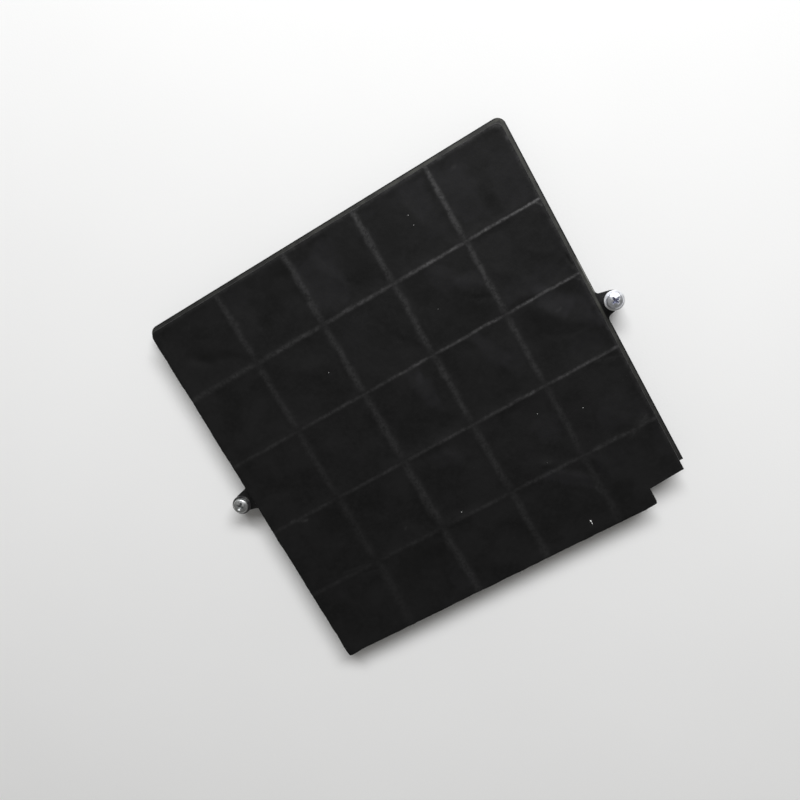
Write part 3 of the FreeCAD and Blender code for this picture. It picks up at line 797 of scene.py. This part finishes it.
def paintWeldsAndHighlights(xs, ys, offRows, offColumns, edge, front):
    # how light the welds and handling marks are painted, with painted highlight along the cut rim,
    # growing towards the top right, the lamp's side
    flicker = (1 + ripple(xs, ys, "flickerWide")) * (1 + ripple(xs, ys, "flickerFine"))
    bumpy = 1 + ripple(xs, ys, "width")
    force, width = welding["rim"]
    offset, run = welding["rimHighlightRise"]
    # painted highlight along the cut edge, growing towards the lamp's side
    rise = np.clip((xs + ys + offset) / run, *welding["rimLimits"])
    weldsAndHighlights = force * rise * np.exp(-(edge / width) ** 2) * (1 + ripple(xs, ys, "rim"))
    steady = welding["columnSteady"]
    if front:
        # the welds are painted brighter towards the top right, the lamp's side, as painted highlight
        for rib, *weldAndHighlight in rowWelds:
            force = weldAndHighlightForce(xs, offRows - rib, *weldAndHighlight) * flicker
            weldsAndHighlights = np.maximum(weldsAndHighlights, force)
        for rib, *weldAndHighlight in columnWelds:
            force = weldAndHighlightForce(ys, (offColumns - rib) * bumpy, *weldAndHighlight)
            weldsAndHighlights = np.maximum(weldsAndHighlights, force * (steady + (1 - steady) * flicker))
        weldsAndHighlights = np.maximum(weldsAndHighlights, strokeForce(xs, ys) * flicker)
    else:
        force, width = welding["rearForce"]
        away = np.minimum(ribDistance(offColumns), ribDistance(offRows))
        weldsAndHighlights = np.maximum(weldsAndHighlights, force * np.exp(-(away * bumpy / width) ** 2) * flicker)
    return np.clip(weldsAndHighlights, 0, welding["most"])


def ribDistance(places):
    return np.min([abs(places - rib) for rib in grid["ribs"]], axis=0)


def frayEdges(xs, ys, height, edge, spec):
    # a hand-cut, slightly frayed edge that droops where it hangs over the wall
    frayed, hang = cutting["frayed"], cutting["hang"]
    reachOut = np.clip(1 - edge / frayed, 0, 1) ** 1.5 * spec["ragged"] * ripple(xs, ys, "rag")
    leftHang = np.clip((-grid["wallOutside"] - xs) / hang, 0, 1)
    lowHang = np.clip((-grid["wallOutside"] - ys) / hang, 0, 1)
    height -= spec["droop"] * np.maximum(leftHang, lowHang) * (0.8 + ripple(xs, ys, "droop"))
    roundCorner(xs, ys, spec)
    nearLeft, nearRight = xs - spec["left"] < frayed, spec["right"] - xs < frayed
    nearLow, nearTop = ys - spec["bottom"] < frayed, spec["top"] - ys < frayed
    xs += reachOut * (nearRight.astype(float) - nearLeft)
    ys += reachOut * (nearTop.astype(float) - nearLow)
    reach = cutting["slantReach"]
    overCut = ys - spec["notchY"]
    beyond = (xs > spec["notchX"] - 1) & (overCut < reach) & (overCut > -0.5)
    askew = (xs - spec["notchX"]) / (spec["right"] - spec["notchX"]) * 2 - 1
    ys += np.where(beyond, spec["notchSlant"] * askew * np.clip(1 - overCut / reach, 0, 1), 0)


def makeFleece(name, spec):
    piece, xs, ys = cutSheet(name, spec)
    front = spec["way"] > 0
    edge = edgeDistance(xs, ys, spec)

    # the welds waver a little over the ribs, and the sheet sinks into the cells between them
    ribX = xs + ripple(xs, ys, "ribX")
    ribY = ys + ripple(xs, ys, "ribY")
    acrossX, acrossY = ribDistance(ribX), ribDistance(ribY)
    wallX = grid["wallInside"] - abs(ribX) - spec["wallWeld"]
    wallY = grid["wallInside"] - abs(ribY) - spec["wallWeld"]
    rim = cutting["notchRim"]
    byNotch = np.maximum(spec["notchX"] - rim - ribX, ribY - spec["notchY"] - rim)
    byRib = insideCell(acrossX - spec["columnWeld"], acrossY - spec["rowWeld"], spec["innerRound"])
    byWall = insideCell(wallX, wallY, spec["wallRound"])
    dip = dipInto(byRib, spec["slope"]) * dipInto(byWall, spec["wallSlope"])
    dip = dip * dipInto(byNotch, spec["slope"])
    sag = spec["sag"] * (1 + ripple(xs, ys, "sag"))
    depth, width = welding["groove"]
    height = -sag * dip - depth * np.exp(-(acrossY / width) ** 2)
    height += dip * ripple(xs, ys, "quilt")
    height += ripple(xs, ys, "flat") * (1 - dip) * np.clip(edge, 0, 1)
    if front:
        onRib = welding["foldOnRib"]
        height += foldHeight(xs, ys) * (onRib + (1 - onRib) * dip)
    # weld and handling marks, with painted highlight
    weldsAndHighlights = paintWeldsAndHighlights(xs, ys, ribY, ribX, edge, front)
    # painted sheen and shade patches, on the front only
    napSheenShade = napSheenShadeOver(xs, ys) if front else np.zeros(len(xs))

    frayEdges(xs, ys, height, edge, spec)
    if front:
        along = np.exp(-((xs - cutting["horn"]) / cutting["hornWidth"]) ** 2)
        inwards = np.clip(1 - (ys - spec["bottom"]) / cutting["hornReach"], 0, 1)
        ys -= cutting["hornOut"] * along * inwards
    writePoints(piece, np.column_stack([xs, ys, spec["weldHeight"] + spec["way"] * height]) * mm)
    keepValues(piece, "weldsAndHighlights", weldsAndHighlights)
    keepValues(piece, "napSheenShade", napSheenShade)

    # faces look out of the cassette, and the sheet gets its thickness inwards
    if not front:
        editAll(piece)
        bpy.ops.mesh.flip_normals()
        setMode("OBJECT")
    solidify = piece.modifiers.new("thickness", "SOLIDIFY")
    solidify.thickness = spec["thickness"] * mm
    solidify.offset = -1
    applyModifiers(piece)
    finishPiece(piece, "cassette", fleecePaint, 60)
    width = (spec["right"] - spec["left"]) * mm
    print(name, len(piece.data.polygons), "faces")
    return piece


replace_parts(makeFleece("front_fleece_sheet", frontFleece), "front_fleece")
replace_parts(makeFleece("rear_fleece_sheet", rearFleece), "rear_fleece")


lint = {
    "specks": [(-37.1, 46.0, 0.30), (39.9, 46.6, 0.18), (51.4, 102.4, 0.28), (51.4, 96.0, 0.27),
               (61.1, -37.8, 0.29), (86.4, -47.4, 0.33), (-9.2, -70.5, 0.37), (51.9, -67.4, 0.15)],
    # the flake's head and tail: place, half size, stretch and angle
    "flake": [(57.9, -113.2, 0.56, (0.66, 1.3, 0.4), 0.1),
              (58.0, -114.9, 0.34, (0.55, 2.2, 0.4), -0.05)],
    "above": 30,               # over everything: from here the sheet's face is looked for
    "lift": 0.6,               # how far a speck stands up, as a share of its half height
    "lumps": (1.3, 0.55),      # their scale and size
}


def faceHeight(x, y):
    # height of the front sheet under a point, in mm
    sheet = bpy.data.objects["front_fleece_sheet"]
    start = Vector((x * mm, y * mm, lint["above"] * mm))
    hit, place = sheet.ray_cast(start, Vector((0, 0, -1)))[:2]
    return place.z / mm if hit else frontFleece["weldHeight"]


def makeSpeck(name, x, y, size, stretch=(1, 0.8, 0.6), angle=0):
    clearSelection()
    spot = (x * mm, y * mm, (faceHeight(x, y) + size * stretch[2] * lint["lift"]) * mm)
    bpy.ops.mesh.primitive_ico_sphere_add(
        subdivisions=3, radius=size * mm, location=spot, rotation=(0, 0, angle))
    piece = takeNew(name)
    piece.scale = stretch
    points = readPoints(piece)
    scale, height = lint["lumps"]
    lump = np.array([noise.noise(Vector(p) / (size * mm) * scale + Vector((x, y, 0))) for p in points])
    writePoints(piece, points * (1 + height * lump[:, None]))
    return settle(piece)


def joinPieces(pieces, name):
    clearSelection()
    for piece in pieces:
        piece.select_set(True)
    bpy.context.view_layer.objects.active = pieces[0]
    bpy.ops.object.join()
    return takeNew(name)


specks = [makeSpeck("speck_%d" % i, *spot) for i, spot in enumerate(lint["specks"])]
finishPiece(joinPieces(specks, "lint_specks"), "cassette", speckPaint, 60)
flake = [makeSpeck("flake_%d" % i, *spot) for i, spot in enumerate(lint["flake"])]
finishPiece(joinPieces(flake, "lint_flake"), "cassette", flakePaint, 60)
print("lint is placed")


hairs = {
    "count": 620,
    "long": (0.8, 2.4), "thick": 0.035,
    "root": (0.5, 17.85),   # how far in from the edge it starts, and how high
    "spread": 0.9, "bend": 0.7, "rise": (0.05, 0.28), "droop": 0.25, "taper": 0.6,
    "span": (0.02, 0.98),   # the part of an edge that has hairs
    "seed": 11,
    # the four cut edges: share of the hairs, start, run along the edge, way out, share of the length
    "edges": [
        (0.30, (-122.4, -122.4), (0, 243.6), (-1, 0), 1.0),
        (0.18, (121.2, -108), (0, 228), (1, 0), 0.7),
        (0.34, (-122.4, -122.4), (219, 0), (0, -1), 1.0),
        (0.18, (-119.4, 121.2), (238, 0), (0, 1), 0.7),
    ],
}


def makeHair():
    # one straight hair, one unit long, with four loops where it can bend
    clearSelection()
    bpy.ops.mesh.primitive_cylinder_add(
        vertices=3, radius=1, depth=1, location=(0, 0, 0.5), end_fill_type="NGON")
    hair = settle(takeNew("hair"))
    for cut in (0.2, 0.4, 0.6, 0.8):
        editAll(hair)
        bpy.ops.mesh.bisect(plane_co=(0, 0, cut), plane_no=(0, 0, 1))
    return faceOut(hair)


def makeFibres():
    # loose fibres stand out along the cut edges: copies of one hair, each bent its own way
    hair = makeHair()
    shape = readPoints(hair)
    t = shape[:, 2]
    inset, base = hairs["root"]
    shares = [edge[0] for edge in hairs["edges"]]
    dice = np.random.default_rng(hairs["seed"])
    copies = []
    for i in range(hairs["count"]):
        start, along, out, reach = hairs["edges"][dice.choice(len(shares), p=shares)][1:]
        run = dice.uniform(*hairs["span"])
        x, y = [start[k] + run * along[k] - out[k] * inset for k in (0, 1)]
        length = dice.uniform(*hairs["long"]) * reach
        heading = math.atan2(out[1], out[0]) + dice.normal(0, hairs["spread"])
        heading = heading + dice.normal(0, hairs["bend"]) * t
        rise = dice.normal(*hairs["rise"])
        thin = hairs["thick"] * (1 - hairs["taper"] * t)
        points = np.column_stack([
            x + length * t * np.cos(heading) - np.sin(heading) * shape[:, 0] * thin,
            y + length * t * np.sin(heading) + np.cos(heading) * shape[:, 0] * thin,
            base + length * t * rise - hairs["droop"] * t * t + shape[:, 1] * thin])
        copy = bpy.data.objects.new("hair_%d" % i, hair.data.copy())
        bpy.context.collection.objects.link(copy)
        writePoints(copy, points * mm)
        copies.append(copy)
    bpy.data.objects.remove(hair)
    return finishPiece(joinPieces(copies, "fleece_fibres"), "cassette", fibrePaint, 60)


makeFibres()
print("fibres are laid")


screw = {
    "steps": 48,
    "tip": 1.55, "major": 2.5, "waist": 2.0, "neck": 0.35,
    "threadTop": 7.0, "rings": 58, "firstRing": 0.25, "lastRing": 0.2,
    "pitch": 0.8, "threadDepth": 0.46, "threadStart": 0.2, "threadSpare": 0.1,
    "flank": (1.25, 0.12),     # slope of the groove's sides, and width of its crest
    "taperLength": 0.9, "taper": 0.75, "grooveFade": 1.6,
    "headBase": 16.0, "headRadius": 4.8, "headTop": 19.7,
    "crown": 11.0, "shoulder": 1.3, "underRound": 0.25,
    "headRings": (4.8, 4.79, 4.76, 4.7, 4.6, 4.45, 4.25, 4.0, 3.7, 3.35, 2.9, 2.4, 1.8, 1.2, 0.6, 0),
    "recessSpan": 5.7, "recessBlade": 1.35, "recessDepth": 2.4, "recessFoot": 1.05,
    "spanFlare": 0.25, "bladeFlare": 0.03, "bladeTaper": 0.1, "overTop": 0.4,
    "rimOver": 18.2, "rimReach": 3.2, "rimBevel": 0.07, "rimAngle": 38,
    # the painted shade in the recess and under the head: its reach, depth and climb
    "shadeReach": 3.4, "shadeDepth": 0.12,
    "shadeUnder": (1.3, 0.5, 0.6),   # how far it climbs the head, over what height it fades, how strong
    "turns": {"right_screw_turned": 16, "left_screw_turned": 38},
}
washer = {"steps": 64, "outer": 6.0, "inner": 2.3, "base": 14.9, "top": 15.9, "rounding": 0.18}


def spinProfile(name, profile, steps):
    # a circle's points are laid out as the half section and spun round Z
    clearSelection()
    bpy.ops.mesh.primitive_circle_add(vertices=len(profile), radius=1, fill_type="NOTHING")
    piece = takeNew(name)
    writePoints(piece, np.array([(r * mm, 0, z * mm) for r, z in profile]))
    onAxis = [i for i, (r, z) in enumerate(profile) if r == 0]
    if len(onAxis) == 2:
        # an open section: the side that lies on the axis goes
        chooseNone(piece, "EDGE")
        for edge in piece.data.edges:
            edge.select = all(i in onAxis for i in edge.vertices)
        deleteChosen("EDGE")
    editAll(piece)
    bpy.ops.mesh.spin(steps=steps, angle=2 * math.pi, center=(0, 0, 0), axis=(0, 0, 1))
    bpy.ops.mesh.select_all(action="SELECT")
    bpy.ops.mesh.remove_doubles(threshold=0.0000005)
    return faceOut(piece)


def arc(centre, radius, start, end, steps):
    angles = [math.radians(start + (end - start) * i / steps) for i in range(steps + 1)]
    return [(centre[0] + radius * math.cos(a), centre[1] + radius * math.sin(a)) for a in angles]


def headHeight(radius):
    # the raised head's top: a spherical crown that runs into a rounded shoulder
    s = screw
    centre = s["headTop"] - s["crown"]
    lean = math.asin((s["headRadius"] - s["shoulder"]) / (s["crown"] - s["shoulder"]))
    join = s["crown"] * math.sin(lean)
    crown = centre + np.sqrt(s["crown"] ** 2 - np.minimum(radius, join) ** 2)
    shoulderZ = centre + (s["crown"] - s["shoulder"]) * math.cos(lean)
    across = np.clip(radius - (s["headRadius"] - s["shoulder"]), 0, s["shoulder"])
    return np.where(radius < join, crown, shoulderZ + np.sqrt(s["shoulder"] ** 2 - across ** 2))


def screwProfile():
    s = screw
    low, high = s["firstRing"], s["threadTop"] - s["lastRing"]
    side, fillet = s["headRadius"] - s["underRound"], s["underRound"]
    points = [(0, 0), (s["tip"], 0)]
    for i in range(s["rings"] + 1):
        points.append((s["major"], low + (high - low) * i / s["rings"]))
    points += [(s["waist"], s["threadTop"]), (s["waist"], s["headBase"] - s["neck"])]
    points += [(s["waist"] + s["neck"], s["headBase"]), (side, s["headBase"])]
    points += arc((side, s["headBase"] + fillet), fillet, -60, 0, 3)
    points += [(radius, float(headHeight(np.array(radius)))) for radius in s["headRings"]]
    return points


def cutThread(piece):
    # the smooth rod's rings are pressed into a helix
    s = screw
    points = readPoints(piece) / mm
    radius = np.hypot(points[:, 0], points[:, 1])
    angle = np.arctan2(points[:, 1], points[:, 0])
    low, high = s["threadStart"], s["threadTop"] - s["threadSpare"]
    onThread = (points[:, 2] > low) & (points[:, 2] < high) & (radius > s["waist"] - s["threadSpare"])
    phase = (points[:, 2] / s["pitch"] - angle / (2 * math.pi)) % 1
    slope, crestWidth = s["flank"]
    groove = np.clip(slope * (1 - abs(phase * 2 - 1)) - crestWidth, 0, 1)
    fade = np.clip((points[:, 2] - low) / s["taperLength"], 0, 1)
    crest = s["major"] - s["taper"] * (1 - fade)
    cut = crest - s["threadDepth"] * groove * np.clip(fade * s["grooveFade"], 0, 1)
    scale = np.where(onThread, cut / np.maximum(radius, 0.1), 1)
    points[:, 0] *= scale
    points[:, 1] *= scale
    writePoints(piece, points * mm)


def makeBlade(name, angle):
    # one tapered wing of the cross recess
    s = screw
    clearSelection()
    bpy.ops.mesh.primitive_cube_add(size=1, location=(0, 0, 0))
    piece = takeNew(name)
    points = readPoints(piece)
    upper = points[:, 2] > 0
    half = s["recessBlade"] / 2
    points[:, 0] = np.sign(points[:, 0]) * np.where(
        upper, s["recessSpan"] / 2 + s["spanFlare"], s["recessFoot"])
    points[:, 1] = np.sign(points[:, 1]) * np.where(
        upper, half + s["bladeFlare"], half - s["bladeTaper"])
    points[:, 2] = np.where(upper, s["headTop"] + s["overTop"], s["headTop"] - s["recessDepth"])
    writePoints(piece, points * mm)
    piece.rotation_euler = (0, 0, angle)
    return settle(piece)


def cutAway(piece, cutter):
    boolean = piece.modifiers.new("cut", "BOOLEAN")
    boolean.operation = "DIFFERENCE"
    boolean.solver = "EXACT"
    boolean.object = cutter
    applyModifiers(piece)
    bpy.data.objects.remove(cutter)


def makeScrew(name):
    s = screw
    piece = spinProfile(name, screwProfile(), s["steps"])
    cutThread(piece)
    cutAway(piece, makeBlade("wing_a", 0))
    cutAway(piece, makeBlade("wing_b", math.pi / 2))
    # the recess's rim is broken with a small bevel
    chooseNone(piece, "EDGE")
    setMode("EDIT")
    bpy.ops.mesh.edges_select_sharp(sharpness=math.radians(s["rimAngle"]))
    setMode("OBJECT")
    points = readPoints(piece) / mm
    onRim = (points[:, 2] > s["rimOver"]) & (np.hypot(points[:, 0], points[:, 1]) < s["rimReach"])
    for edge in piece.data.edges:
        edge.select = edge.select and all(onRim[i] for i in edge.vertices)
    setMode("EDIT")
    bpy.ops.mesh.bevel(offset=s["rimBevel"] * mm, segments=2, affect="EDGES", clamp_overlap=True)
    setMode("OBJECT")
    # painted shade: the surface under the crown is painted darker, in the cross recess and on the
    # head's side just over the washer
    points = readPoints(piece) / mm
    radius = np.hypot(points[:, 0], points[:, 1])
    depth = headHeight(radius) - points[:, 2]
    floor = s["headTop"] - s["recessDepth"] - 0.1
    inRecess = (points[:, 2] > floor) & (radius < s["shadeReach"])
    onHead = points[:, 2] > s["headBase"] - 0.01
    climb, fade, strength = s["shadeUnder"]
    underHead = np.clip((s["headBase"] + climb - points[:, 2]) / fade, 0, 1) * onHead
    paintedShade = np.where(inRecess, np.clip(depth / s["shadeDepth"], 0, 1), strength * underHead)
    keepValues(piece, "paintedShade", paintedShade)
    piece.rotation_euler = (0, 0, math.radians(s["turns"][name]))
    return settle(piece)


def makeWasher(name):
    w, r = washer, washer["rounding"]
    inner, outer, base, top = w["inner"] + r, w["outer"] - r, w["base"] + r, w["top"] - r
    profile = []
    for i, centre in enumerate([(outer, base), (outer, top), (inner, top), (inner, base)]):
        profile += arc(centre, r, 270 + 90 * i, 360 + 90 * i, 3)
    return spinProfile(name, profile, w["steps"])


def placeAt(piece, x):
    piece.location = (x * mm, 0, 0)
    return settle(piece)


fittings = [
    (makeScrew("right_screw_turned"), grid["screwX"], "right_screw", rightZinc),
    (makeScrew("left_screw_turned"), -grid["screwX"], "left_screw", leftZinc),
    (makeWasher("right_washer_pressed"), grid["screwX"], "right_washer", palePlate),
    (makeWasher("left_washer_pressed"), -grid["screwX"], "left_washer", shadedPlate),
]
for piece, x, node, paint in fittings:
    finishPiece(placeAt(piece, x), node, paint, 30)
    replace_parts(piece, node)
print("screws and washers are made")
